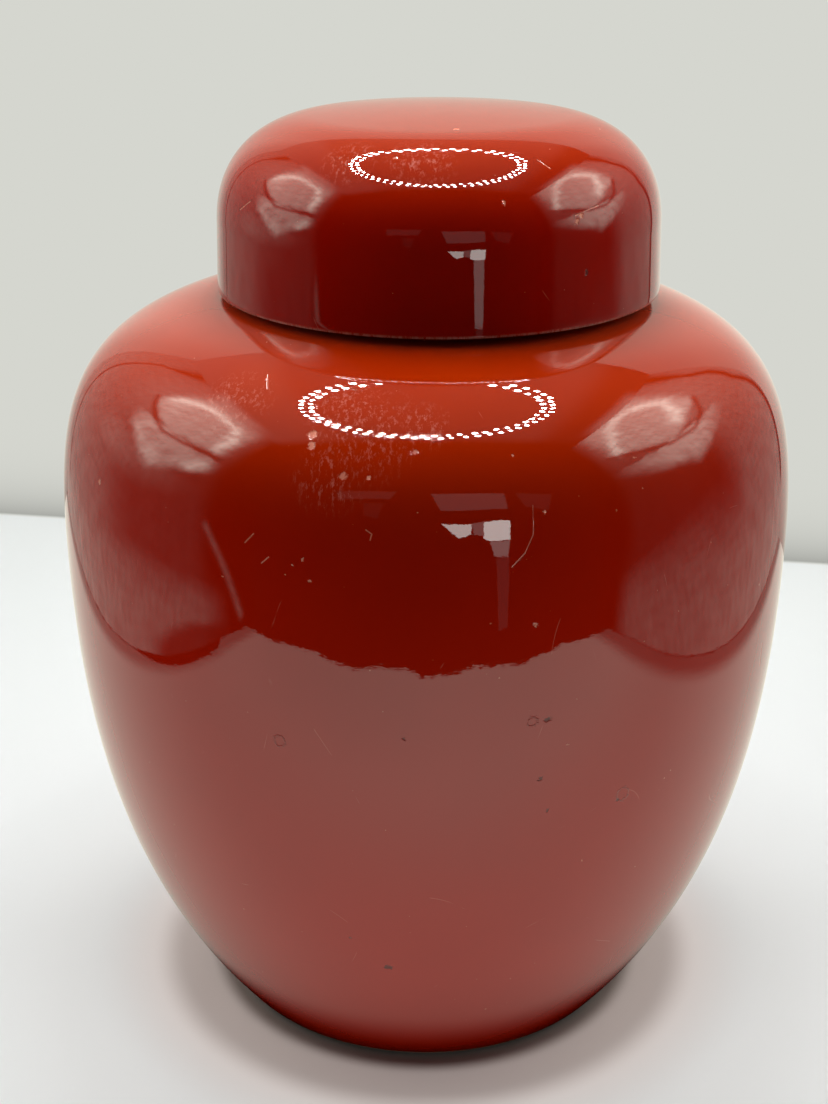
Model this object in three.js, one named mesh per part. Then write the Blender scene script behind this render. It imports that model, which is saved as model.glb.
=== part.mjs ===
// A lidded ginger jar: a round-bellied porcelain jar, and the cap lid that drops over its short neck.
// Millimetres, +Z up, front towards -Y. The origin is the centre of the foot, on the surface it stands on.
// Both pieces are turned, so each is one outline of (radius, height) swept round its own vertical axis.
import * as THREE from "three";

const facetsRound = 48;

// Jar, outside, from the foot up to the lip. Slopes are in degrees above the horizontal.
const footRadius = 36.3;
const footEdge = 0.7; // how far the foot's outer edge is eased, up the wall
const footWidth = 4.4;
const footFlare = 52.8;
const recessDepth = 2.8;
const recessDraft = 1;
const bellyRadius = 60.2;
const bellyHeight = 85.3;
const shoulderRadius = 35.6; // just outside the lid's rim
const shoulderHeight = 122.8;
const shoulderSlope = 14;
const seatSlope = 9.2; // under the lid, from there to the foot of the neck
const neckRadius = 29.8;
const neckFillet = 0.6;
const neckWall = 3.4;
const lipHeight = 134;

// Jar, inside.
const bodyWall = 3.8;
const floorHeight = 6.8;
const floorFlatRadius = 27;
const wallStart = 0.2; // how far along the lower curve the wall leaves the rounded corner of the floor

// Lid. It is loose on the neck and stands a little to one side, so the inner edge of its rim meets the
// sloping seat on the other side, and the gap under it widens outwards.
const lidOffset = 1.95; // towards +X
const lidRadius = 35.5;
const lidWall = 3.2;
const lidTopHeight = 152;
const seatClearance = 0.35; // between the rim's inner edge and the seat
const rimEase = 0.6; // radius of the rim's outer edge
const rimInnerEase = 0.4;
const lidWallHeight = 10.6;
const lidLean = 0.3; // how far the lid's wall leans in over that height
const crownRadius = 20.3;
const crownSlope = 5.9; // of the lid's top at the crown's edge
const crownRise = 1; // from the crown's edge to its centre

// Reach of each smooth curve along its end tangents.
const reachFromFoot = 30.7;
const reachBelowBelly = 32.9;
const reachAboveBelly = 23.8;
const reachToShoulder = 20.6;
const reachFromLidWall = 10.6;
const reachToCrown = 7.5;

const glaze = new THREE.MeshStandardMaterial({ color: 0xb5220a, roughness: 0.12, metalness: 0 });

const point = (radius, height) => new THREE.Vector2(radius, height);

// A step of the given length from a point, at an angle in degrees above the outward horizontal.
function stepFrom(start, length, angle) {
  const radians = THREE.MathUtils.degToRad(angle);
  return point(start.x + length * Math.cos(radians), start.y + length * Math.sin(radians));
}

// How far a slope, in degrees, rises over a run.
const riseOver = (run, angle) => run * Math.tan(THREE.MathUtils.degToRad(angle));

// Points along a curve, moved `inset` to its left, which is into the wall on a climbing outside curve.
function along(curve, chords, inset = 0, start = 0) {
  const points = [];
  for (let step = 0; step <= chords; step += 1) {
    const place = start + ((1 - start) * step) / chords;
    const tangent = curve.getTangent(place);
    const sideways = point(-tangent.y, tangent.x).multiplyScalar(inset);
    points.push(curve.getPoint(place).add(sideways));
  }
  return points;
}

// A rounded corner from one point to another, drawn towards the point where their tangents cross.
function corner(from, crossing, to, chords) {
  return along(new THREE.QuadraticBezierCurve(from, crossing, to), chords);
}

// The belly's outside: one curve from the foot to the widest point, and one from there to the shoulder.
const footTop = stepFrom(point(footRadius, 0), footEdge, footFlare);
const belly = point(bellyRadius, bellyHeight);
const shoulder = point(shoulderRadius, shoulderHeight);
const lowerBelly = new THREE.CubicBezierCurve(
  footTop,
  stepFrom(footTop, reachFromFoot, footFlare),
  stepFrom(belly, reachBelowBelly, -90),
  belly,
);
const upperBelly = new THREE.CubicBezierCurve(
  belly,
  stepFrom(belly, reachAboveBelly, 90),
  stepFrom(shoulder, reachToShoulder, -shoulderSlope),
  shoulder,
);

// Height of the seat, the part of the shoulder under the lid, at a radius.
const seatHeightAt = (radius) => shoulderHeight + riseOver(shoulderRadius - radius, seatSlope);

// The jar from the axis under its base, up the outside and over the lip.
function jarOutside() {
  const recessRadius = footRadius - footWidth;
  const neckFoot = point(neckRadius, seatHeightAt(neckRadius));
  const filletStart = stepFrom(neckFoot, neckFillet, -seatSlope);
  const lipRadius = neckWall / 2;
  const lip = new THREE.EllipseCurve(
    neckRadius - lipRadius, lipHeight - lipRadius, lipRadius, lipRadius, 0, Math.PI, false,
  );
  return [
    point(0, recessDepth),
    point(recessRadius - recessDraft, recessDepth),
    point(recessRadius, 0),
    ...corner(point(footRadius - footEdge, 0), point(footRadius, 0), footTop, 2),
    ...along(lowerBelly, 12).slice(1),
    ...along(upperBelly, 12).slice(1),
    ...corner(filletStart, neckFoot, stepFrom(neckFoot, neckFillet, 90), 3),
    ...along(lip, 6),
  ];
}

// The jar's inside, from the neck down to the axis on its floor.
function jarInside() {
  const neckInner = neckRadius - neckWall;
  const upperWall = along(upperBelly, 10, bodyWall);
  const lowerWall = along(lowerBelly, 9, bodyWall, wallStart);
  const wallTop = upperWall.at(-1);
  const wallFoot = lowerWall[0];
  const throat = point(neckInner, wallTop.y + riseOver(wallTop.x - neckInner, seatSlope));
  const wallFootTangent = lowerBelly.getTangent(wallStart);
  const floorCorner = wallFoot.x - ((wallFoot.y - floorHeight) * wallFootTangent.x) / wallFootTangent.y;
  const upwards = [
    point(0, floorHeight),
    ...corner(point(floorFlatRadius, floorHeight), point(floorCorner, floorHeight), wallFoot, 4),
    ...lowerWall.slice(1),
    ...upperWall.slice(1),
    ...corner(wallTop, throat, stepFrom(throat, neckWall, 90), 3).slice(1),
  ];
  return upwards.reverse();
}

// The lid from the axis under its crown, down the inside, round the rim and up the outside to the axis.
function lidOutline() {
  const rimInner = lidRadius - lidWall;
  const rimHeight = seatHeightAt(rimInner - lidOffset) + seatClearance;
  const wallTop = point(lidRadius - lidLean, rimHeight + lidWallHeight);
  const crownEdge = point(crownRadius, lidTopHeight - crownRise);
  const cap = new THREE.CubicBezierCurve(
    wallTop,
    stepFrom(wallTop, reachFromLidWall, 90),
    stepFrom(crownEdge, reachToCrown, -crownSlope),
    crownEdge,
  );
  const crownTop = point(0, lidTopHeight);
  const crown = new THREE.QuadraticBezierCurve(crownEdge, point(crownRadius / 2, lidTopHeight), crownTop);
  const inside = [...along(cap, 9, lidWall), ...along(crown, 3, lidWall).slice(1)].reverse();
  inside[0].x = 0;
  return [
    ...inside,
    ...corner(
      point(rimInner, rimHeight + rimInnerEase),
      point(rimInner, rimHeight),
      point(rimInner + rimInnerEase, rimHeight),
      2,
    ),
    ...corner(
      point(lidRadius - rimEase, rimHeight),
      point(lidRadius, rimHeight),
      point(lidRadius, rimHeight + rimEase),
      3,
    ),
    ...along(cap, 12),
    ...along(crown, 3).slice(1),
  ];
}

// A named mesh swept round a vertical axis from an outline that starts and ends on that axis.
function turned(name, outline, axisX = 0) {
  const geometry = new THREE.LatheGeometry(outline, facetsRound);
  geometry.rotateX(Math.PI / 2);
  geometry.translate(axisX, 0, 0);
  const mesh = new THREE.Mesh(geometry, glaze);
  mesh.name = name;
  return mesh;
}

const gingerJar = new THREE.Group();
gingerJar.add(turned("jar_body", [...jarOutside(), ...jarInside()]));
gingerJar.add(turned("lid", lidOutline(), lidOffset));

export default gingerJar;
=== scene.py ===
"""The looks of a red-glazed ginger jar: two turned porcelain pieces, standing in a white light tent.
Lengths are metres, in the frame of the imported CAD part: +Z up, front towards -Y, origin under the foot."""

import math

import bpy
import numpy as np
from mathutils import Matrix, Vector


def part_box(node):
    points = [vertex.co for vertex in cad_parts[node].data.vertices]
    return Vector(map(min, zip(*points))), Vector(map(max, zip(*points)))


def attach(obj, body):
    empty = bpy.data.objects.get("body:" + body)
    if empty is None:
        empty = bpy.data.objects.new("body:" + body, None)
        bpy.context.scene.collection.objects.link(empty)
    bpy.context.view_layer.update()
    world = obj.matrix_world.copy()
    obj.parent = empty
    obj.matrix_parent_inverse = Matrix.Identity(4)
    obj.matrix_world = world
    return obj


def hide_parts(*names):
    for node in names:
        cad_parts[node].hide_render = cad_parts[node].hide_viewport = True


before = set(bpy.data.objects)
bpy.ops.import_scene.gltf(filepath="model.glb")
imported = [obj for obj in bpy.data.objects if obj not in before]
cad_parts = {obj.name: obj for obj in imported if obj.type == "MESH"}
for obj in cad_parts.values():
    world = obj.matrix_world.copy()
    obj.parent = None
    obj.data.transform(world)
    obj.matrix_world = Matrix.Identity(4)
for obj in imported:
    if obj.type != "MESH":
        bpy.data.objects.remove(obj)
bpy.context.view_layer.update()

MM = 0.001
SEED = 7

# --- Measures of the jar -------------------------------------------------------------------------
# What the CAD boxes give: the overall sizes and where the lid sits.
body_low, body_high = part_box("jar_body")
lid_low, lid_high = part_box("lid")
BELLY_RADIUS = (body_high.y - body_low.y) / 2
LIP_HEIGHT = body_high.z
LID_RADIUS = (lid_high.y - lid_low.y) / 2
LID_AXIS = Vector(((lid_low.x + lid_high.x) / 2, 0, 0))
RIM_HEIGHT = lid_low.z
LID_TOP = lid_high.z

# The named dimensions of the CAD outlines, for the smooth curves between those sizes.
FOOT_RADIUS = 36.3 * MM
FOOT_EDGE = 0.7 * MM
FOOT_WIDTH = 4.4 * MM
FOOT_FLARE = 52.8
RECESS_DEPTH = 2.8 * MM
RECESS_DRAFT = 1 * MM
BELLY_HEIGHT = 85.3 * MM
SHOULDER_RADIUS = 35.6 * MM
SHOULDER_HEIGHT = 122.8 * MM
SHOULDER_SLOPE = 14
SEAT_SLOPE = 9.2
NECK_RADIUS = 29.8 * MM
NECK_FILLET = 0.6 * MM
NECK_WALL = 3.4 * MM
BODY_WALL = 3.8 * MM
FLOOR_HEIGHT = 6.8 * MM
FLOOR_FLAT_RADIUS = 27 * MM
LID_WALL = 3.2 * MM
RIM_EASE = 0.6 * MM
RIM_INNER_EASE = 0.4 * MM
LID_WALL_HEIGHT = 10.6 * MM
LID_LEAN = 0.3 * MM
CROWN_RADIUS = 20.3 * MM
CROWN_SLOPE = 5.9
CROWN_RISE = 1 * MM

# How far each smooth curve reaches along its end tangents, as in the CAD part.
REACH_FROM_FOOT = 30.7 * MM
REACH_BELOW_BELLY = 32.9 * MM
REACH_ABOVE_BELLY = 23.8 * MM
REACH_TO_SHOULDER = 20.6 * MM
REACH_FROM_LID_WALL = 10.6 * MM
REACH_TO_CROWN = 7.5 * MM
WALL_START = 0.2  # how far along the lower curve the inner wall leaves the rounded corner of the floor

SEGMENTS = 288  # round each piece
SHARP_EDGE = 35  # degrees between faces above which an edge is not smoothed


# --- Outlines -------------------------------------------------------------------------------------
def point(radius, height):
    return np.array([radius, height], float)


def step_from(start, length, angle):
    """A step from a point, at an angle in degrees above the outward horizontal."""
    radians = math.radians(angle)
    return start + length * point(math.cos(radians), math.sin(radians))


def rise_over(run, angle):
    return run * math.tan(math.radians(angle))


def bezier(controls, count, start=0.0):
    """Points along a Bezier curve of any degree, and its unit tangents."""
    places = np.linspace(start, 1, count)[:, None]

    def blend(points):
        while len(points) > 1:
            points = [a * (1 - places) + b * places for a, b in zip(points, points[1:])]
        return points[0] + 0 * places

    steps = [b - a for a, b in zip(controls, controls[1:])]
    tangents = blend(steps)
    tangents = tangents / np.linalg.norm(tangents, axis=1)[:, None]
    return blend(list(controls)), tangents


def curve(controls, count, inset=0.0, start=0.0):
    """Points along a Bezier curve, moved `inset` to its left."""
    points, tangents = bezier(controls, count, start)
    return points + inset * np.column_stack([-tangents[:, 1], tangents[:, 0]])


FOOT_TOP = step_from(point(FOOT_RADIUS, 0), FOOT_EDGE, FOOT_FLARE)
BELLY = point(BELLY_RADIUS, BELLY_HEIGHT)
SHOULDER = point(SHOULDER_RADIUS, SHOULDER_HEIGHT)
LOWER_BELLY = [
    FOOT_TOP,
    step_from(FOOT_TOP, REACH_FROM_FOOT, FOOT_FLARE),
    step_from(BELLY, REACH_BELOW_BELLY, -90),
    BELLY,
]
UPPER_BELLY = [
    BELLY,
    step_from(BELLY, REACH_ABOVE_BELLY, 90),
    step_from(SHOULDER, REACH_TO_SHOULDER, -SHOULDER_SLOPE),
    SHOULDER,
]
NECK_FOOT = point(NECK_RADIUS, SHOULDER_HEIGHT + rise_over(SHOULDER_RADIUS - NECK_RADIUS, SEAT_SLOPE))

RED, WHITE, BISQUE = 0, 1, 2  # which material each stretch of an outline takes


def jar_outline():
    """Stretches of (points, material) from the axis under the base, up the outside and down the inside."""
    recess = FOOT_RADIUS - FOOT_WIDTH
    lip = NECK_WALL / 2
    lip_centre = point(NECK_RADIUS - lip, LIP_HEIGHT - lip)
    lip_turn = np.linspace(0, math.pi, 13)
    wall_top = curve(UPPER_BELLY, 2, BODY_WALL)[-1]
    wall_foot = curve(LOWER_BELLY, 2, BODY_WALL, WALL_START)[0]
    foot_slope = bezier(LOWER_BELLY, 2, WALL_START)[1][0]
    neck_inner = NECK_RADIUS - NECK_WALL
    throat = point(neck_inner, wall_top[1] + rise_over(wall_top[0] - neck_inner, SEAT_SLOPE))
    corner = point(wall_foot[0] - (wall_foot[1] - FLOOR_HEIGHT) * foot_slope[0] / foot_slope[1], FLOOR_HEIGHT)
    return [
        (np.linspace(point(0, RECESS_DEPTH), point(recess - RECESS_DRAFT, RECESS_DEPTH), 10), WHITE),
        (np.linspace(point(recess - RECESS_DRAFT, RECESS_DEPTH), point(recess, 0), 5), WHITE),
        (np.linspace(point(recess, 0), point(FOOT_RADIUS - FOOT_EDGE, 0), 5), BISQUE),
        (curve([point(FOOT_RADIUS - FOOT_EDGE, 0), point(FOOT_RADIUS, 0), FOOT_TOP], 7), BISQUE),
        (curve(LOWER_BELLY, 72), RED),
        (curve(UPPER_BELLY, 72), RED),
        (np.linspace(SHOULDER, step_from(NECK_FOOT, NECK_FILLET, -SEAT_SLOPE), 4), RED),
        (curve([step_from(NECK_FOOT, NECK_FILLET, -SEAT_SLOPE), NECK_FOOT,
                step_from(NECK_FOOT, NECK_FILLET, 90)], 5), RED),
        (np.linspace(step_from(NECK_FOOT, NECK_FILLET, 90), lip_centre + point(lip, 0), 6), RED),
        (lip_centre + lip * np.column_stack([np.cos(lip_turn), np.sin(lip_turn)]), BISQUE),
        (np.linspace(lip_centre - point(lip, 0), step_from(throat, NECK_WALL, 90), 6), WHITE),
        (curve([step_from(throat, NECK_WALL, 90), throat, wall_top], 9), WHITE),
        (curve(UPPER_BELLY, 30, BODY_WALL)[::-1], WHITE),
        (curve(LOWER_BELLY, 30, BODY_WALL, WALL_START)[::-1], WHITE),
        (curve([wall_foot, corner, point(FLOOR_FLAT_RADIUS, FLOOR_HEIGHT)], 9), WHITE),
        (np.linspace(point(FLOOR_FLAT_RADIUS, FLOOR_HEIGHT), point(0, FLOOR_HEIGHT), 9), WHITE),
    ]


def lid_outline():
    """Stretches of (points, material) from the axis under the crown, round the rim and over the top."""
    rim_inner = LID_RADIUS - LID_WALL
    wall_top = point(LID_RADIUS - LID_LEAN, RIM_HEIGHT + LID_WALL_HEIGHT)
    crown_edge = point(CROWN_RADIUS, LID_TOP - CROWN_RISE)
    cap = [
        wall_top,
        step_from(wall_top, REACH_FROM_LID_WALL, 90),
        step_from(crown_edge, REACH_TO_CROWN, -CROWN_SLOPE),
        crown_edge,
    ]
    crown = [crown_edge, point(CROWN_RADIUS / 2, LID_TOP), point(0, LID_TOP)]
    under_crown = curve(crown, 12, LID_WALL)[::-1]
    under_crown[0, 0] = 0
    inner_wall_top = curve(cap, 2, LID_WALL)[0]
    inner_rim = point(rim_inner, RIM_HEIGHT + RIM_INNER_EASE)
    flat_start = point(rim_inner + RIM_INNER_EASE, RIM_HEIGHT)
    flat_end = point(LID_RADIUS - RIM_EASE, RIM_HEIGHT)
    outer_rim = point(LID_RADIUS, RIM_HEIGHT + RIM_EASE)
    return [
        (under_crown, WHITE),
        (curve(cap, 28, LID_WALL)[::-1], WHITE),
        (np.linspace(inner_wall_top, inner_rim, 8), BISQUE),
        (curve([inner_rim, point(rim_inner, RIM_HEIGHT), flat_start], 5), BISQUE),
        (np.linspace(flat_start, flat_end, 4), BISQUE),
        (curve([flat_end, point(LID_RADIUS, RIM_HEIGHT), outer_rim], 7), RED),
        (np.linspace(outer_rim, wall_top, 12), RED),
        (curve(cap, 64), RED),
        (curve(crown, 20), RED),
    ]


def turned(name, stretches, axis, materials):
    """A closed mesh swept round a vertical axis from stretches of outline that start and end on that axis."""
    points = [stretches[0][0][0]]
    kinds = []
    for stretch, kind in stretches:
        for spot in stretch[1:]:
            points.append(spot)
            kinds.append(kind)
    points = np.array(points)
    turns = np.linspace(0, 2 * math.pi, SEGMENTS, endpoint=False)
    ring = np.column_stack([np.sin(turns), -np.cos(turns)])
    middle = points[1:-1]
    vertices = [(axis.x, axis.y, points[0, 1])]
    for radius, height in middle:
        for across, along in ring:
            vertices.append((axis.x + radius * across, axis.y + radius * along, height))
    vertices.append((axis.x, axis.y, points[-1, 1]))
    top = len(vertices) - 1
    faces = []
    face_kinds = []

    def index(row, turn):
        return 1 + row * SEGMENTS + turn % SEGMENTS

    for turn in range(SEGMENTS):
        faces.append((0, index(0, turn + 1), index(0, turn)))
        face_kinds.append(kinds[0])
    for row in range(len(middle) - 1):
        for turn in range(SEGMENTS):
            below = (index(row, turn), index(row, turn + 1))
            above = (index(row + 1, turn + 1), index(row + 1, turn))
            faces.append(below + above)
            face_kinds.append(kinds[row + 1])
    last = len(middle) - 1
    for turn in range(SEGMENTS):
        faces.append((index(last, turn), index(last, turn + 1), top))
        face_kinds.append(kinds[-1])
    mesh = bpy.data.meshes.new(name)
    mesh.from_pydata(vertices, [], faces)
    for material in materials:
        mesh.materials.append(material)
    mesh.polygons.foreach_set("material_index", face_kinds)
    mesh.shade_smooth()
    mesh.set_sharp_from_angle(angle=math.radians(SHARP_EDGE))
    made = bpy.data.objects.new(name, mesh)
    bpy.context.scene.collection.objects.link(made)
    return made


# --- Material helpers -----------------------------------------------------------------------------
class Shading:
    """The nodes of one material, made by short calls that each return an output socket."""

    def __init__(self, name):
        self.material = bpy.data.materials.new(name)
        self.material.use_nodes = True
        self.tree = self.material.node_tree
        self.shader = self.tree.nodes["Principled BSDF"]
        self.output = self.tree.nodes["Material Output"]
        self.place = self.node("ShaderNodeTexCoord").outputs["Object"]

    def node(self, kind, **settings):
        made = self.tree.nodes.new(kind)
        for key, value in settings.items():
            setattr(made, key, value)
        return made

    def feed(self, socket, value):
        if isinstance(value, bpy.types.NodeSocket):
            self.tree.links.new(value, socket)
        elif value is not None:
            socket.default_value = value

    def math(self, operation, a, b=None, clamp=False):
        made = self.node("ShaderNodeMath", operation=operation, use_clamp=clamp)
        for socket, value in zip(made.inputs, (a, b)):
            self.feed(socket, value)
        return made.outputs[0]

    def vector(self, operation, a, b=None, scale=None):
        made = self.node("ShaderNodeVectorMath", operation=operation)
        self.feed(made.inputs[0], a)
        self.feed(made.inputs[1], b)
        if operation == "SCALE":
            self.feed(made.inputs["Scale"], scale)
        return made.outputs["Value" if operation in ("DISTANCE", "DOT_PRODUCT") else "Vector"]

    def fade(self, value, low, high):
        """0 at low, 1 at high, smooth between; low may be above high."""
        made = self.node("ShaderNodeMapRange", interpolation_type="SMOOTHSTEP")
        self.feed(made.inputs["Value"], value)
        made.inputs["From Min"].default_value = low
        made.inputs["From Max"].default_value = high
        return made.outputs["Result"]

    def noise(self, size, stretch=(1, 1, 1), detail=3, roughness=0.5, distortion=0.0, shift=(0, 0, 0)):
        """Noise with features about `size` across, stretched by a factor along each axis."""
        scale = Vector([1 / (size * s) for s in stretch])
        mapped = self.node("ShaderNodeMapping")
        self.feed(mapped.inputs["Vector"], self.place)
        mapped.inputs["Scale"].default_value = scale
        mapped.inputs["Location"].default_value = shift
        made = self.node("ShaderNodeTexNoise")
        self.feed(made.inputs["Vector"], mapped.outputs["Vector"])
        made.inputs["Scale"].default_value = 1
        made.inputs["Detail"].default_value = detail
        made.inputs["Roughness"].default_value = roughness
        made.inputs["Distortion"].default_value = distortion
        return made.outputs["Fac"]

    def mix(self, factor, a, b):
        made = self.node("ShaderNodeMix", data_type="RGBA")
        self.feed(made.inputs["Factor"], factor)
        colours = [s for s in made.inputs if s.type == "RGBA"]
        self.feed(colours[0], a)
        self.feed(colours[1], b)
        return [s for s in made.outputs if s.type == "RGBA"][0]

    def blend(self, factor, a, b):
        """A number that is a where factor is 0 and b where it is 1."""
        made = self.node("ShaderNodeMix", data_type="FLOAT")
        floats = [s for s in made.inputs if s.type == "VALUE"]
        self.feed(floats[0], factor)
        self.feed(floats[1], a)
        self.feed(floats[2], b)
        return made.outputs[0]

    def bump(self, height, strength, distance, normal=None):
        made = self.node("ShaderNodeBump")
        made.inputs["Strength"].default_value = strength
        made.inputs["Distance"].default_value = distance
        self.feed(made.inputs["Height"], height)
        self.feed(made.inputs["Normal"], normal)
        return made.outputs["Normal"]

    def height(self):
        made = self.node("ShaderNodeSeparateXYZ")
        self.feed(made.inputs[0], self.place)
        return made.outputs["Z"]


def colour(red, green, blue):
    return (red, green, blue, 1.0)


# --- Materials ------------------------------------------------------------------------------------
def outside_point(stretches, axis, angle, height):
    """The point of a piece's red outside at an angle from the front, in degrees, and a height in mm."""
    red = np.concatenate([points for points, kind in stretches if kind == RED])
    order = np.argsort(red[:, 1])
    radius = np.interp(height * MM, red[order, 1], red[order, 0])
    turn = math.radians(angle)
    return Vector((axis.x + radius * math.sin(turn), axis.y - radius * math.cos(turn), height * MM))


def on_jar(angle, height):
    return outside_point(jar_outline(), Vector((0, 0, 0)), angle, height)


def on_lid(angle, height):
    return outside_point(lid_outline(), LID_AXIS, angle, height)


# Wear on each piece, as places on its outside with sizes in mm: pale chips, fine scratches between places,
# dark pits, blisters (low rings left where a bubble burst in the glaze) and rubbed patches.
JAR_WEAR = {
    "chips": [
        (on_jar(-17.5, 114.7), 0.65),
        (on_jar(-17.2, 113.5), 0.5),
        (on_jar(-11.9, 110.4), 0.5),
        (on_jar(-8.3, 110.4), 0.3),
        (on_jar(-2.0, 113.4), 0.35),
        (on_jar(-30.0, 119.4), 0.3),
        (on_jar(-16.7, 99.1), 0.22),
        (on_jar(-15.7, 96.2), 0.26),
        (on_jar(-18.2, 98.2), 0.2),
        (on_jar(15.6, 105.6), 0.22),
        (on_jar(14.2, 90.0), 0.3),
        (on_jar(-55.6, 101.8), 0.35),
        (on_jar(12, 112.8), 0.2),
    ],
    "scratches": [
        (on_jar(14.1, 106.6), on_jar(13.9, 102.8), 0.05),
        (on_jar(13.9, 102.8), on_jar(12.7, 100.4), 0.05),
        (on_jar(12.7, 100.4), on_jar(10.9, 98.6), 0.06),
        (on_jar(-8.3, 103.8), on_jar(-7.5, 103.3), 0.08),
        (on_jar(-7.5, 103.3), on_jar(-7.7, 102.5), 0.08),
        (on_jar(-30.5, 119.8), on_jar(-28.5, 118.6), 0.09),
        (on_jar(-25.2, 100.3), on_jar(-24.0, 101.7), 0.08),
        (on_jar(-22.6, 97.8), on_jar(-21.6, 98.8), 0.07),
        (on_jar(62, 73), on_jar(62.4, 69), 0.14),
    ],
    "pits": [
        (on_jar(-6.6, 28.9), 0.55),
        (on_jar(-6.1, 28.8), 0.35),
        (on_jar(16.3, 75.1), 0.45),
        (on_jar(15.7, 65.3), 0.35),
        (on_jar(17.1, 59.6), 0.22),
        (on_jar(-3.2, 73.2), 0.3),
        (on_jar(28.6, 58.6), 0.3),
        (on_jar(-12.5, 35.0), 0.2),
    ],
    "blisters": [
        (on_jar(14.2, 75.0), 0.75),
        (on_jar(29.3, 59.4), 1.1),
        (on_jar(-20.7, 70.7), 0.9),
    ],
    "rubs": [
        (on_jar(-9, 115.5), 9),
        (on_jar(-33, 117), 7),
        (on_jar(-1, 116), 5),
        (on_jar(-13, 117.6), 7),
        (on_jar(-14, 110), 6),
    ],
}
LID_WEAR = {
    "chips": [
        (on_lid(6.7, 151.1), 0.4),
        (on_lid(33.9, 139.6), 0.4),
        (on_lid(35.4, 140.3), 0.35),
        (on_lid(-13.5, 148.3), 0.3),
        (on_lid(15, 142.9), 0.3),
    ],
    "scratches": [
        (on_lid(41.5, 141.3), on_lid(33.7, 140.4), 0.07),
        (on_lid(30.5, 146.6), on_lid(28, 147.7), 0.08),
        (on_lid(-59.2, 139.2), on_lid(-55.0, 140.8), 0.08),
    ],
    "pits": [
        (on_lid(36.3, 132.2), 0.4),
    ],
    "blisters": [],
    "rubs": [
        (on_lid(-27, 147.6), 5),
        (on_lid(-6, 148.0), 6),
    ],
}


SCUFFED = colour(0.72, 0.26, 0.20)
POLISHED, SCRAPED = 0.022, 0.35  # roughness of sound glaze and of worn glaze


def wear_masks(s, wear, rough_place):
    """Where a piece is pale, where it is dark and where it has a blister's ring: numbers from 0 to 1."""

    def spots(places, soft=0.4):
        total = 0.0
        for place, radius in places:
            gap = s.vector("DISTANCE", rough_place, place)
            total = s.math("MAXIMUM", total, s.fade(gap, radius * MM * (1 + soft), radius * MM * (1 - soft)))
        return total

    pale = spots(wear["chips"])
    for start, end, half_width in wear["scratches"]:
        run = end - start
        share = s.math("DIVIDE", s.vector("DOT_PRODUCT", s.vector("SUBTRACT", s.place, start), run),
                       run.length_squared, clamp=True)
        nearest = s.node("ShaderNodeVectorMath", operation="MULTIPLY_ADD")
        s.feed(nearest.inputs[0], share)
        s.feed(nearest.inputs[1], run)
        s.feed(nearest.inputs[2], start)
        gap = s.vector("DISTANCE", s.place, nearest.outputs["Vector"])
        pale = s.math("MAXIMUM", pale, s.math("MULTIPLY", s.fade(gap, half_width * MM * 2, 0), 0.8))
    ring = 0.0
    for place, radius in wear["blisters"]:
        off = s.math("ABSOLUTE", s.math("SUBTRACT", s.vector("DISTANCE", rough_place, place), radius * MM))
        ring = s.math("MAXIMUM", ring, s.fade(off, 0.22 * MM, 0))
    return pale, spots(wear["pits"]), ring


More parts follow.
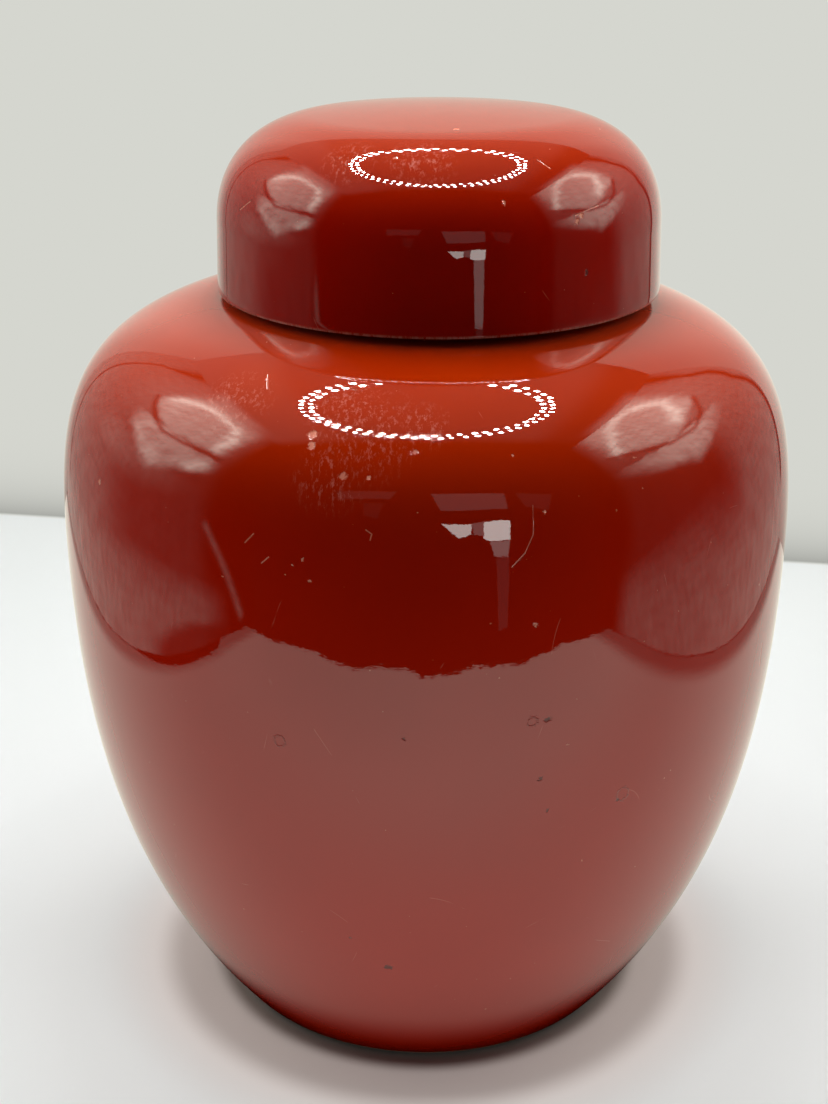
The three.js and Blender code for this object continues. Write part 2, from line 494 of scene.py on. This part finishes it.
def red_glaze(name, ior, low, high, height_range, wear, painted_rim_highlight=False):
    """Opaque iron-red glaze, from one tone low down to another high up, with fine wear in it and, on the lid,
    a paler edge at the rim: a painted highlight along the rim's rounded lower edge."""
    s = Shading(name)
    height = s.height()
    wander = s.node("ShaderNodeTexNoise")
    s.feed(wander.inputs["Vector"], s.place)
    wander.inputs["Scale"].default_value = 1900
    wander.inputs["Detail"].default_value = 2
    push = s.vector("SCALE", s.vector("SUBTRACT", wander.outputs["Color"], (0.5, 0.5, 0.5)), scale=0.0011)
    pale, dark, ring = wear_masks(s, wear, s.vector("ADD", s.place, push))

    # Rubbed patches: a smear of fine pale specks and streaks inside a soft patch.
    streak = s.noise(0.0011, stretch=(0.55, 0.8, 2.6), detail=6, roughness=0.74)
    rubbed = 0.0
    for place, radius in wear["rubs"]:
        gap = s.vector("DISTANCE", s.place, place)
        rubbed = s.math("MAXIMUM", rubbed, s.fade(gap, radius * MM, radius * MM * 0.2))
    rubbed = s.math("MULTIPLY", s.math("POWER", rubbed, 0.7), s.fade(streak, 0.49, 0.68))
    dust = s.fade(s.noise(0.0010, detail=2, shift=(3, 1, 2)), 0.765, 0.80)

    # Hairline scratches: thin level lines of a broad noise, kept only here and there.
    hair = s.math("SUBTRACT", s.noise(0.016, stretch=(1, 1, 1.4), detail=0, shift=(5, 2, 9)), 0.5)
    hair = s.fade(s.math("ABSOLUTE", hair), 0.0024, 0.0006)
    hair = s.math("MULTIPLY", hair, s.fade(s.noise(0.006, detail=2, shift=(1, 7, 4)), 0.60, 0.68))

    # The tone changes with height: high up it is a darker red, painted shade that tones down the stronger
    # light on the shoulder, and more orange.
    base = s.mix(s.fade(height, *height_range), low, high)
    cloud = s.noise(0.02, detail=4)
    base = s.mix(s.math("MULTIPLY", s.fade(cloud, 0.35, 0.75), 0.15), base, colour(0.22, 0.0030, 0.0004))
    base = s.mix(s.math("MULTIPLY", rubbed, 0.30), base, SCUFFED)
    base = s.mix(s.math("MULTIPLY", hair, 0.22), base, SCUFFED)
    base = s.mix(s.math("MULTIPLY", dust, 0.5), base, colour(0.7, 0.30, 0.20))
    base = s.mix(s.math("MULTIPLY", ring, 0.4), base, colour(0.10, 0.006, 0.003))
    base = s.mix(s.math("MULTIPLY", dark, 0.8), base, colour(0.06, 0.003, 0.0015))
    base = s.mix(s.math("MULTIPLY", pale, 0.6), base, colour(0.78, 0.28, 0.18))
    if painted_rim_highlight:
        # A painted highlight along the rim's rounded lower edge: a thin band of paler colour there.
        near_rim = s.fade(height, RIM_HEIGHT + 0.00065, RIM_HEIGHT + 0.0002)
        edge = s.math("MULTIPLY", near_rim, s.fade(streak, 0.3, 0.6))
        base = s.mix(s.math("MULTIPLY", edge, 0.45), base, colour(0.55, 0.33, 0.26))
    s.feed(s.shader.inputs["Base Color"], base)
    s.shader.inputs["IOR"].default_value = ior
    worn = s.math("MAXIMUM", s.math("MAXIMUM", pale, dark), s.math("MULTIPLY", rubbed, 0.35))
    s.feed(s.shader.inputs["Roughness"], s.blend(worn, POLISHED, SCRAPED))
    fine = s.noise(0.0011, stretch=(3, 3, 1), detail=2)
    normal = s.bump(fine, 1.0, 0.0000022)
    normal = s.bump(s.noise(0.007, detail=2), 1.0, 0.000008, normal)
    normal = s.bump(s.noise(0.0005, stretch=(1.6, 1.6, 1), detail=2), 1.0, 0.0000022, normal)
    marks = s.math("SUBTRACT", ring, s.math("MULTIPLY", s.math("MAXIMUM", pale, dark), 1.5))
    normal = s.bump(marks, 1.0, 0.00003, normal)
    s.feed(s.shader.inputs["Normal"], normal)
    return s.material


def white_glaze():
    """Clear glaze over white porcelain, faintly clouded, with a few iron specks."""
    s = Shading("white_glaze")
    cloud = s.noise(0.018, detail=3)
    base = s.mix(s.fade(cloud, 0.3, 0.7), colour(0.72, 0.74, 0.73), colour(0.66, 0.69, 0.68))
    specks = s.fade(s.noise(0.0016, detail=1), 0.76, 0.79)
    base = s.mix(s.math("MULTIPLY", specks, 0.6), base, colour(0.2, 0.15, 0.11))
    s.feed(s.shader.inputs["Base Color"], base)
    s.shader.inputs["IOR"].default_value = 1.5
    s.shader.inputs["Roughness"].default_value = 0.09
    s.feed(s.shader.inputs["Normal"], s.bump(s.noise(0.005, detail=2), 1.0, 0.00001))
    return s.material


def bisque():
    """Bare fired porcelain, dull and gritty, on the edges that are wiped free of glaze."""
    s = Shading("bisque")
    cloud = s.noise(0.004, detail=5, roughness=0.7)
    base = s.mix(s.fade(cloud, 0.3, 0.7), colour(0.62, 0.55, 0.46), colour(0.46, 0.38, 0.30))
    grit = s.noise(0.0005, detail=3)
    s.feed(s.shader.inputs["Base Color"], base)
    s.shader.inputs["Roughness"].default_value = 0.75
    s.feed(s.shader.inputs["Normal"], s.bump(grit, 1.0, 0.00005))
    return s.material


# --- Pieces ---------------------------------------------------------------------------------------
inner_glaze = white_glaze()
bare = bisque()
# The jar's and the lid's tones are two copies of one glaze, set apart for how lit each piece looks: the lid's
# darker tones are painted shade.
jar_red = red_glaze(
    "red_glaze_jar", 1.55,
    low=colour(0.355, 0.0080, 0.0003), high=colour(0.31, 0.0185, 0.0005),
    height_range=(0.100, 0.120), wear=JAR_WEAR,
)
jar = turned("jar_porcelain", jar_outline(), Vector((0, 0, 0)), [jar_red, inner_glaze, bare])
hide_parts("jar_body")
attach(jar, "jar")
lid_red = red_glaze(
    "red_glaze_lid", 1.475,
    low=colour(0.285, 0.0042, 0.0004), high=colour(0.250, 0.0165, 0.0004),
    height_range=(RIM_HEIGHT + 0.014, LID_TOP), wear=LID_WEAR, painted_rim_highlight=True,
)
lid = turned("lid_porcelain", lid_outline(), LID_AXIS, [lid_red, inner_glaze, bare])
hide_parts("lid")
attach(lid, "lid")


# --- Floor and backdrop -----------------------------------------------------------------------------
TENT_SIDE = 0.197
TENT_FRONT = -0.19
TENT_BACK = 0.199
TENT_TOP = 0.345
BACK_SLANT = 0.165  # how much the back wall comes forward for each metre to the right
BACK_REACH = 0.036  # how far its left end lies behind TENT_BACK
BACK_MIDDLE = 0.2025  # where the back wall stands, in the middle
FLOOR_TURN = 0.2005  # where the floor turns up into the backdrop, in the middle
BACKDROP = colour(0.665, 0.672, 0.624)
BACKDROP_RADIUS = 5.0
STAND_HEIGHT = -0.0003  # of the floor that the camera sees, just under the foot


def seen_by(obj, camera=False, diffuse=False, glossy=False, shadow=False):
    """A stage piece, and which rays meet it."""
    obj.visible_camera = camera
    obj.visible_diffuse = diffuse
    obj.visible_glossy = glossy
    obj.visible_transmission = diffuse or glossy
    obj.visible_volume_scatter = False
    obj.visible_shadow = shadow
    return obj


def panel(name, corners, material):
    """A flat face through these corners."""
    mesh = bpy.data.meshes.new(name)
    mesh.from_pydata(corners, [], [tuple(range(len(corners)))])
    mesh.materials.append(material)
    made = bpy.data.objects.new(name, mesh)
    bpy.context.scene.collection.objects.link(made)
    return made


def glowing(name, tint, strength=1.0):
    """A material that only gives light, and the node that gives it."""
    s = Shading(name)
    s.tree.nodes.remove(s.shader)
    light = s.node("ShaderNodeEmission")
    light.inputs["Color"].default_value = tint
    light.inputs["Strength"].default_value = strength
    s.feed(s.output.inputs["Surface"], light.outputs[0])
    return s, light


def floor_material():
    """White card, lit by the lamps, that turns at the tent's back and sides into the backdrop's plain grey,
    darkened by painted shade along the line where they meet. Part of its light is its own, painted light for
    what the tent's walls give it. That part is absent at the foot, low and a little warm in the band of shade
    round it, a painted shadow with a painted warm glow from the jar, and full beyond."""
    s = Shading("floor")
    s.shader.inputs["Roughness"].default_value = 0.9
    s.shader.inputs["Specular IOR Level"].default_value = 0.1
    gap = s.vector("DISTANCE", s.place, (0, -0.001, 0))
    # Near the foot the card's colour and its glow are warmer: a painted warm glow from the jar.
    away = s.fade(gap, 0.040, 0.062)
    card_tone_and_painted_bounce = s.mix(away, colour(0.490, 0.445, 0.440), colour(0.427, 0.448, 0.469))
    s.feed(s.shader.inputs["Base Color"], card_tone_and_painted_bounce)
    s.feed(s.shader.inputs["Emission Color"], s.mix(away, colour(1.11, 1.0, 0.95), colour(0.985, 1, 0.99)))
    split = s.node("ShaderNodeSeparateXYZ")
    s.feed(split.inputs[0], s.place)
    x, y = split.outputs["X"], split.outputs["Y"]
    # The floor's own glow is painted light: a little less farther out and brighter in front.
    painted_floor_glow = s.math("SUBTRACT", 0.41, s.math("MULTIPLY", s.fade(gap, 0.060, 0.095), 0.10))
    painted_floor_glow = s.math("ADD", painted_floor_glow, s.math("MULTIPLY", s.fade(y, 0.01, -0.045), 0.12))
    # A painted shadow round the foot: how much of that painted light the floor has, none under the jar, then
    # more in three steps out of the shade.
    out_of_painted_shadow = s.math("MULTIPLY", s.fade(gap, 0.0370, 0.0405), 0.38)
    out_of_painted_shadow = s.math("ADD", out_of_painted_shadow, s.math("MULTIPLY", s.fade(gap, 0.0445, 0.0512), 0.47))
    out_of_painted_shadow = s.math("ADD", out_of_painted_shadow, s.math("MULTIPLY", s.fade(gap, 0.050, 0.064), 0.15))
    s.feed(s.shader.inputs["Emission Strength"], s.math("MULTIPLY", out_of_painted_shadow, painted_floor_glow))
    past = s.math("ADD", s.math("SUBTRACT", y, FLOOR_TURN), s.math("MULTIPLY", x, BACK_SLANT))
    behind = s.fade(past, -0.0018, 0.0018)
    beside = s.fade(s.math("ABSOLUTE", x), TENT_SIDE - 0.03, TENT_SIDE + 0.05)
    before = s.fade(y, -0.19, -0.32)
    outside = s.math("MAXIMUM", behind, s.math("MAXIMUM", beside, before))
    # Painted shade on the backdrop: darkest at the line where it meets the floor, fading further back, gone
    # at the tent's sides.
    shade = s.math("EXPONENT", s.math("DIVIDE", s.math("MAXIMUM", past, 0), -0.018))
    shade = s.math("MULTIPLY", shade, s.math("SUBTRACT", 1, beside))
    shade = s.math("MULTIPLY", shade, behind)
    light = s.node("ShaderNodeEmission")
    s.feed(light.inputs["Color"], s.mix(s.math("MULTIPLY", shade, 0.43), BACKDROP, colour(0, 0, 0)))
    mixed = s.node("ShaderNodeMixShader")
    s.feed(mixed.inputs[0], outside)
    s.feed(mixed.inputs[1], s.shader.outputs[0])
    s.feed(mixed.inputs[2], light.outputs[0])
    s.feed(s.output.inputs["Surface"], mixed.outputs[0])
    return s.material


def disc(name, radius, height, material, count=96):
    corners = []
    for turn in range(count):
        angle = 2 * math.pi * turn / count
        corners.append((radius * math.cos(angle), radius * math.sin(angle), height))
    return panel(name, corners, material)


floor = disc("floor", BACKDROP_RADIUS - 0.1, STAND_HEIGHT, floor_material())
seen_by(floor, camera=True)

bpy.ops.mesh.primitive_uv_sphere_add(segments=48, ring_count=24, radius=BACKDROP_RADIUS)
dome = bpy.context.object
dome.name = "backdrop"
dome.data.materials.append(glowing("backdrop", BACKDROP)[0].material)
seen_by(dome, camera=True)

world = bpy.data.worlds.new("room")
bpy.context.scene.world = world
world.use_nodes = True
world.node_tree.nodes["Background"].inputs[0].default_value = colour(1, 0.97, 0.93)
world.node_tree.nodes["Background"].inputs[1].default_value = 0.005


# --- The light tent, which lights the jar and shows in its glaze, but which the camera does not see ----
def soft_step(value, low, high):
    """0 up to low, 1 from high, smooth between."""
    share = np.clip((value - low) / (high - low), 0, 1)
    return share * share * (3 - 2 * share)


def blob(u, v, centre, size, edge=0.35):
    """1 inside an ellipse, fading to 0 outside it."""
    reach = np.hypot((u - centre[0]) / size[0], (v - centre[1]) / size[1])
    return 1 - soft_step(reach, 1 - edge, 1 + edge)


def fold(u, v, places, width):
    """1 on a broken line through these places, fading to both sides."""
    nearest = np.full(np.shape(u), 9.0)
    for (u0, v0), (u1, v1) in zip(places, places[1:]):
        du, dv = u1 - u0, v1 - v0
        share = np.clip(((u - u0) * du + (v - v0) * dv) / (du * du + dv * dv), 0, 1)
        nearest = np.minimum(nearest, np.hypot(u - u0 - share * du, v - v0 - share * dv))
    return np.exp(-((nearest / width) ** 2))


def crumple(u, v, size):
    """Smooth seeded unevenness, from -1 to 1, with features about `size` across."""
    random = np.random.default_rng(SEED)
    total = np.zeros(np.shape(u))
    for _ in range(14):
        angle = random.uniform(0, math.pi)
        wave = 2 * math.pi / (size * random.uniform(0.6, 1.8))
        total += np.sin(wave * (u * math.cos(angle) + v * math.sin(angle)) + random.uniform(0, 6.3))
    return total / 6


def warped(u, v, amount, size):
    """The two coordinates pushed about by a crumple, so that a plain shape comes out creased."""
    return u + amount * crumple(u, v, size), v + amount * crumple(v, -u, size * 0.8)


def hanging(u, v, bend, bottom, left_slope, right_slope, edge):
    """1 above a shallow V whose point is at (bend, bottom), fading to 0 below it."""
    rise = np.where(u < bend, left_slope * (bend - u), right_slope * (u - bend))
    return soft_step(v - bottom - rise, -edge, edge)


def left_wall(y, z):
    """How brightly the left wall glows: its lit cloth panel and arch, a crease, and the fold at its back."""
    bent_y, bent_z = warped(y, z, 0.003, 0.03)
    plain = 0.12 + 0.29 * soft_step(y, -0.02, 0.06)
    foot_glow = 0.52 * (1 - soft_step(z, 0.020, np.clip(0.052 + 0.25 * (y + 0.1), 0.03, 0.1)))
    light = np.maximum(plain, foot_glow) * soft_step(y, -0.150, -0.095)
    light = light + 0.35 * blob(y, z, (0.0, 0.133), (0.06, 0.022), 0.7)
    side = soft_step(bent_y, -0.110, -0.082) * (1 - soft_step(bent_y, 0.040, 0.084))
    panel_top = hanging(bent_y, bent_z, -0.01, 0.198, 0.2, 0.45, 0.008)
    panel_top = panel_top * (1 - 0.35 * soft_step(z, 0.31, 0.345))
    light = light + 2.0 * side * panel_top * blob(bent_y, bent_z, (-0.015, 0.27), (0.098, 0.092), 0.5)
    arch = [(-0.082, 0.228), (-0.081, 0.262), (-0.058, 0.302), (-0.02, 0.308), (0.02, 0.304), (0.042, 0.286),
            (0.053, 0.258)]
    light = light + fold(bent_y, bent_z, arch, 0.011) * (3.0 + 1.2 * crumple(z, y, 0.03))
    light = light + 0.5 * blob(y, z, (-0.01, 0.285), (0.12, 0.09), 0.6)
    lower = hanging(bent_y, bent_z, -0.022, 0.130, 0.52, 0.75, 0.012)
    lower = lower * (1 - soft_step(bent_z, 0.196, 0.204))
    lower = lower * soft_step(bent_y, -0.114, -0.080) * (1 - soft_step(bent_y, 0.016, 0.058))
    light = light + lower * (1.9 + 0.5 * crumple(y, z, 0.025))
    light = light + 2.0 * fold(bent_y, bent_z, [(-0.090, 0.178), (-0.072, 0.164)], 0.008)
    crease = [(-0.095, 0.207), (-0.043, 0.196), (-0.007, 0.192), (0.02, 0.203), (0.05, 0.219), (0.07, 0.236)]
    light = light * (1 - 0.72 * fold(y, z, crease, 0.0045))
    light = light * (1 - (1 - soft_step(y, -0.135, -0.095)) * soft_step(z, 0.02, 0.05))
    light = light + 0.45 * fold(y, z, [(-0.163, 0.012), (-0.145, 0.049), (-0.117, 0.092)], 0.004)
    light = light * (1 - 0.85 * blob(y, z, (-0.09, 0), (0.055, 0.012), 0.3))
    corner = [(0.188, 0.03), (0.188, 0.09), (0.187, 0.19), (0.182, 0.27), (0.165, 0.30), (0.150, 0.345)]
    return light * (1 - 0.9 * fold(y, z, corner, 0.0035 + 0.018 * soft_step(z, 0.28, 0.345)))


def right_wall(y, z):
    """How brightly the right wall glows, made up like the left one."""
    bent_y, bent_z = warped(y, z, 0.003, 0.03)
    plain = 0.06 + 0.34 * soft_step(y, -0.02, 0.035)
    foot_glow = 0.48 * (1 - soft_step(z, 0.020, np.clip(0.115 + 0.6 * (y + 0.06), 0.03, 0.13)))
    light = np.maximum(plain, foot_glow) * soft_step(y, -0.165, -0.130)
    light = light * (1 - 0.35 * blob(bent_y, bent_z, (-0.018, 0.095), (0.034, 0.038), 0.6))
    side = soft_step(bent_y, -0.136, -0.098) * (1 - soft_step(bent_y, 0.046, 0.088))
    panel_top = hanging(bent_y, bent_z, -0.036, 0.198, 0.50, 0.42, 0.008)
    light = light + 2.05 * side * panel_top * blob(bent_y, bent_z, (-0.025, 0.285), (0.112, 0.110), 0.5)
    arch = [(-0.106, 0.246), (-0.098, 0.266), (-0.078, 0.292), (-0.056, 0.322), (-0.02, 0.334),
            (0.012, 0.330), (0.038, 0.305), (0.044, 0.278), (0.024, 0.248), (0.002, 0.228)]
    light = light + fold(bent_y, bent_z, arch, 0.011) * (2.9 + 1.2 * crumple(z, y, 0.03))
    light = light + 0.6 * blob(y, z, (-0.02, 0.29), (0.13, 0.10), 0.6)
    lower = hanging(bent_y, bent_z, -0.03, 0.148, 0.36, 0.50, 0.014)
    lower = lower * (1 - soft_step(bent_z, 0.196, 0.204))
    reach = soft_step(bent_y, -0.150, -0.045) * (1 - 0.55 * soft_step(bent_y, 0.0, 0.03))
    reach = reach * (1 - soft_step(bent_y, 0.045, 0.075))
    light = light + lower * reach * (2.2 + 0.5 * crumple(y, z, 0.025))
    crease = [(-0.127, 0.243), (-0.085, 0.219), (-0.043, 0.196), (0.0, 0.192), (0.03, 0.204), (0.066, 0.236)]
    light = light * (1 - 0.70 * fold(y, z, crease, 0.0045))
    light = light * (1 - (1 - soft_step(y, -0.160, -0.125)) * soft_step(z, 0.04, 0.08))
    corner = [(0.139, 0.345), (0.140, 0.265), (0.150, 0.235), (0.149, 0.205), (0.143, 0.186), (0.152, 0.160),
              (0.158, 0.140), (0.161, 0.100), (0.163, 0.040)]
    return light * (1 - 0.97 * fold(y, z, corner, 0.008 + 0.014 * soft_step(z, 0.27, 0.345)))


def back_wall(x, z):
    """How brightly the back wall glows: nearly even, dimmer along the floor."""
    light = 0.55 + 0.14 * np.exp(-(((np.abs(x) - 0.125) / 0.035) ** 2))
    light = light + 0.22 * np.exp(-(((z - 0.10) / 0.05) ** 2)) * soft_step(x, 0.03, 0.09)
    light = light + 0.04 * soft_step(z, 0.16, 0.24)
    return light * (1 - 0.3 * np.exp(-z / 0.015))


def ceiling(x, y):
    """How brightly the roof glows: dim in the middle, brighter where it meets the side walls."""
    light = 0.24 + 0.14 * soft_step(-x, 0.09, 0.12) - 0.18 * soft_step(x, 0.11, 0.155)
    light = light * soft_step(y, -0.145, -0.10)
    edges = soft_step(np.abs(x), 0.172, 0.196) * soft_step(y, -0.11, -0.03)
    return light + 1.1 * edges * (1 - soft_step(y, 0.05, 0.1))


def lit_sheet(name, across, up, place, radiance, rough=1.0):
    """A sheet that glows by a formula. `place` turns its two coordinates into a point, and `rough` is how
    much of the fine unevenness of creased cloth its glow has."""
    columns, rows = 240, 220
    u, v = np.meshgrid(np.linspace(*across, columns), np.linspace(*up, rows))
    vertices = [place(a, b) for a, b in zip(u.ravel(), v.ravel())]
    faces = []
    for row in range(rows - 1):
        for column in range(columns - 1):
            start = row * columns + column
            faces.append((start, start + 1, start + columns + 1, start + columns))
    uneven = 1 + rough * (0.16 * crumple(u, v, 0.007) + 0.14 * crumple(v, u, 0.018))
    light = np.maximum(radiance(u, v) * uneven, 0).ravel()
    mesh = bpy.data.meshes.new(name)
    mesh.from_pydata(vertices, [], faces)
    glow = mesh.attributes.new("glow", "FLOAT", "POINT")
    glow.data.foreach_set("value", light.astype(np.float32))
    s, lamp = glowing(name, colour(1.16, 1.16, 1))
    reader = s.node("ShaderNodeAttribute", attribute_name="glow")
    s.feed(lamp.inputs["Strength"], reader.outputs["Fac"])
    mesh.materials.append(s.material)
    made = bpy.data.objects.new(name, mesh)
    bpy.context.scene.collection.objects.link(made)
    return seen_by(made, diffuse=True, glossy=True)


ALL_UP = (0, TENT_TOP)
ALL_ACROSS = (-TENT_SIDE, TENT_SIDE)
SMOOTH = 0.1  # the share of the cloth's unevenness that the back and the roof show
ROOF_DEPTH = (TENT_FRONT, TENT_BACK + BACK_REACH)
LEFT_DEPTH = (TENT_FRONT, TENT_BACK + 0.035)  # to where the slanting back wall meets it


def back_place(x, z):
    return (x, BACK_MIDDLE - BACK_SLANT * x, z)


lit_sheet("tent_left", LEFT_DEPTH, ALL_UP, lambda y, z: (-TENT_SIDE, y, z), left_wall)
lit_sheet("tent_right", (TENT_FRONT, TENT_BACK), ALL_UP, lambda y, z: (TENT_SIDE, y, z), right_wall)
lit_sheet("tent_back", ALL_ACROSS, ALL_UP, back_place, back_wall, SMOOTH)
lit_sheet("tent_top", ALL_ACROSS, ROOF_DEPTH, lambda x, y: (x, y, TENT_TOP), ceiling, SMOOTH)


CARD_HEIGHT = -0.0006  # under the floor that the camera sees, so that it gives that floor no light


def card_edge(x):
    """Where the white card ends at the front of the tent: a slightly curled, hand-cut edge."""
    ragged = 0.0010 * math.sin(190 * x + 2) + 0.0006 * math.sin(530 * x + 4) + 0.0005 * math.sin(1270 * x + 1)
    return -0.226 + 1.35 * x * x + 0.003 * math.sin(70 * x + 1) + ragged


def card_material():
    """White card under the lamps, as a sheet that glows: painted light, brightest in front, with a painted
    shadow where the jar keeps the light off it, and painted shade in the folds where it meets the side walls."""
    s, light = glowing("card", colour(1.16, 1.16, 1))
    split = s.node("ShaderNodeSeparateXYZ")
    s.feed(split.inputs[0], s.place)
    gap = s.math("SUBTRACT", s.vector("DISTANCE", s.place, (0, 0, 0)), FOOT_RADIUS)
    # Painted shadow of the jar on the card, fading out from the foot.
    shade = s.math("EXPONENT", s.math("DIVIDE", gap, -0.022))
    front = s.fade(split.outputs["Y"], -0.06, -0.15)
    even = s.math("MULTIPLY", s.fade(split.outputs["X"], 0.02, -0.14), -0.14)
    painted_card_glow = s.math("ADD", s.math("MULTIPLY", front, s.math("ADD", even, 0.35)), 0.87)
    painted_card_glow = s.math("MAXIMUM", s.math("SUBTRACT", painted_card_glow, s.math("MULTIPLY", shade, 0.87)), 0)
    # Painted shade in the folds along the side walls.
    fold_right = s.math("MULTIPLY", s.fade(split.outputs["X"], 0.172, 0.190), 0.72)
    fold_left = s.math("MULTIPLY", s.fade(split.outputs["X"], -0.178, -0.192), 0.60)
    painted_fold_shade = s.math("SUBTRACT", 1, s.math("MAXIMUM", fold_right, fold_left))
    # The painted shadow turns black right at the foot.
    painted_card_glow = s.math("MULTIPLY", painted_card_glow, s.fade(gap, 0.0005, 0.009))
    s.feed(light.inputs["Strength"], s.math("MULTIPLY", painted_card_glow, painted_fold_shade))
    return s.material


def card():
    """The white card as the glaze sees it, a sheet of painted light, with its curled front edge and its
    narrowing back.
    """
    corners = []
    for x in np.linspace(-0.205, TENT_SIDE, 260):
        corners.append((x, card_edge(x), CARD_HEIGHT))
    back = TENT_BACK + BACK_REACH
    for x, y in [(TENT_SIDE, back), (-TENT_SIDE, back), (-TENT_SIDE, 0.0), (-0.190, -0.045),
                 (-0.188, -0.08), (-0.190, -0.12), (-0.203, -0.135)]:
        corners.append((x, y, CARD_HEIGHT))
    return panel("card", corners, card_material())


seen_by(card(), diffuse=True, glossy=True)


DIODE_RADIUS = 0.0028
DIODE_JITTER = 0.0012
DIODE_GLOW = 160
RING_FLATTENING = 0.965
RING_MIDDLE = (0.001, -0.013)


def lamp_ring():
    """Two rings of small bright diodes in the tent's roof, as the glaze mirrors them: a little out of line,
    and slightly narrower from front to back."""
    random = np.random.default_rng(SEED)
    vertices = []
    faces = []
    for radius, count in ((0.098, 46), (0.108, 52)):
        for number in range(count):
            angle = 2 * math.pi * number / count
            x = RING_MIDDLE[0] + radius * math.cos(angle)
            x += random.uniform(-DIODE_JITTER, DIODE_JITTER)
            y = RING_MIDDLE[1] + RING_FLATTENING * radius * math.sin(angle)
            y += random.uniform(-DIODE_JITTER, DIODE_JITTER)
            start = len(vertices)
            for side in range(8):
                turn = math.pi * side / 4
                across, along = DIODE_RADIUS * math.cos(turn), DIODE_RADIUS * math.sin(turn)
                vertices.append((x + across, y + along, TENT_TOP - 0.002))
            faces.append(tuple(range(start, start + 8)))
    mesh = bpy.data.meshes.new("diodes")
    mesh.from_pydata(vertices, [], faces)
    material = glowing("diodes", colour(1, 0.98, 0.95), DIODE_GLOW)[0].material
    material.cycles.emission_sampling = "NONE"
    mesh.materials.append(material)
    made = bpy.data.objects.new("diodes", mesh)
    bpy.context.scene.collection.objects.link(made)
    return made


seen_by(lamp_ring(), glossy=True)

# The light that the diodes give, from one soft lamp that the glaze does not mirror.
lamp = bpy.data.lights.new("ring_lamp", "AREA")
lamp.shape = "DISK"
lamp.size = 0.12
lamp.energy = 0.80
lamp.color = (1, 0.985, 0.96)
lamp_object = bpy.data.objects.new("ring_lamp", lamp)
lamp_object.location = (0.001, 0.025, TENT_TOP - 0.004)
bpy.context.scene.collection.objects.link(lamp_object)
lamp_object.visible_glossy = False
lamp_object.visible_camera = False


def fill(name, place, towards, width, height, energy):
    """Soft light from one side, not mirrored by the glaze."""
    light = bpy.data.lights.new(name, "AREA")
    light.shape = "RECTANGLE"
    light.size, light.size_y = width, height
    light.energy = energy
    made = bpy.data.objects.new(name, light)
    made.location = place
    made.rotation_euler = (Vector(towards) - Vector(place)).to_track_quat("-Z", "Y").to_euler()
    bpy.context.scene.collection.objects.link(made)
    made.visible_glossy = False
    made.visible_camera = False


fill("fill_left", (-0.19, 0.03, 0.24), (-0.10, -0.05, 0), 0.3, 0.15, 0.03)
fill("fill_right", (0.19, 0.03, 0.24), (0.10, -0.05, 0), 0.3, 0.15, 0.03)
fill("fill_back", (0, 0.18, 0.30), (0, -0.16, 0), 0.34, 0.08, 0.45)
fill("fill_front", (0, -0.45, 0.09), (0, 0, 0.075), 0.30, 0.15, 0.12)


WINDOW_PLANE = -0.2


def window():
    """A plain window at the open front: two bright panes, the dim wall round them and what lies below."""
    panes = [
        ([(0.0125, 0.134), (0.0385, 0.133), (0.038, 0.119), (0.027, 0.115), (0.021, 0.121)], 6),
        ([(0.050, 0.136), (0.076, 0.137), (0.075, 0.110), (0.055, 0.109), (0.049, 0.114)], 7),
        ([(0.055, 0.108), (0.074, 0.109), (0.072, 0.090), (0.058, 0.092)], 1.4),
        ([(0.060, 0.089), (0.073, 0.089), (0.073, 0.030), (0.064, 0.030)], 0.15),
        ([(0.0385, 0.134), (0.050, 0.136), (0.049, 0.117), (0.040, 0.119)], 0.9),
        ([(0.003, 0.190), (0.076, 0.190), (0.076, 0.157), (0.012, 0.155)], 0.42),
        ([(0.088, 0.190), (0.135, 0.185), (0.124, 0.150), (0.096, 0.160)], 0.10),
        ([(-0.092, 0.196), (-0.028, 0.196), (-0.034, 0.178), (-0.090, 0.176)], 0.16),
        ([(-0.060, 0.170), (-0.040, 0.168), (-0.044, 0.140), (-0.058, 0.146)], 0.06),
    ]
    for number, (corners, radiance) in enumerate(panes):
        name = "window_%d" % number
        material = glowing(name, colour(0.97, 1, 0.95), radiance)[0].material
        seen_by(panel(name, [(x, WINDOW_PLANE, z) for x, z in corners], material), glossy=True)


window()

# --- Camera -----------------------------------------------------------------------------------------
CAMERA_PLACE = (-0.00198, -0.2651, 0.1848)
CAMERA_PITCH = 0.3858  # radians below the horizontal
CAMERA_LENS = 54.07  # mm, on a 36 mm sensor

camera = bpy.data.cameras.new("camera")
camera.sensor_width = 36
camera.lens = CAMERA_LENS
camera.clip_start = 0.01
camera.clip_end = 100
camera_object = bpy.data.objects.new("camera", camera)
camera_object.location = CAMERA_PLACE
camera_object.rotation_euler = (math.pi / 2 - CAMERA_PITCH, 0, 0)
bpy.context.scene.collection.objects.link(camera_object)
bpy.context.scene.camera = camera_object
bpy.context.scene.view_settings.view_transform = "Standard"
bpy.context.scene.view_settings.look = "None"
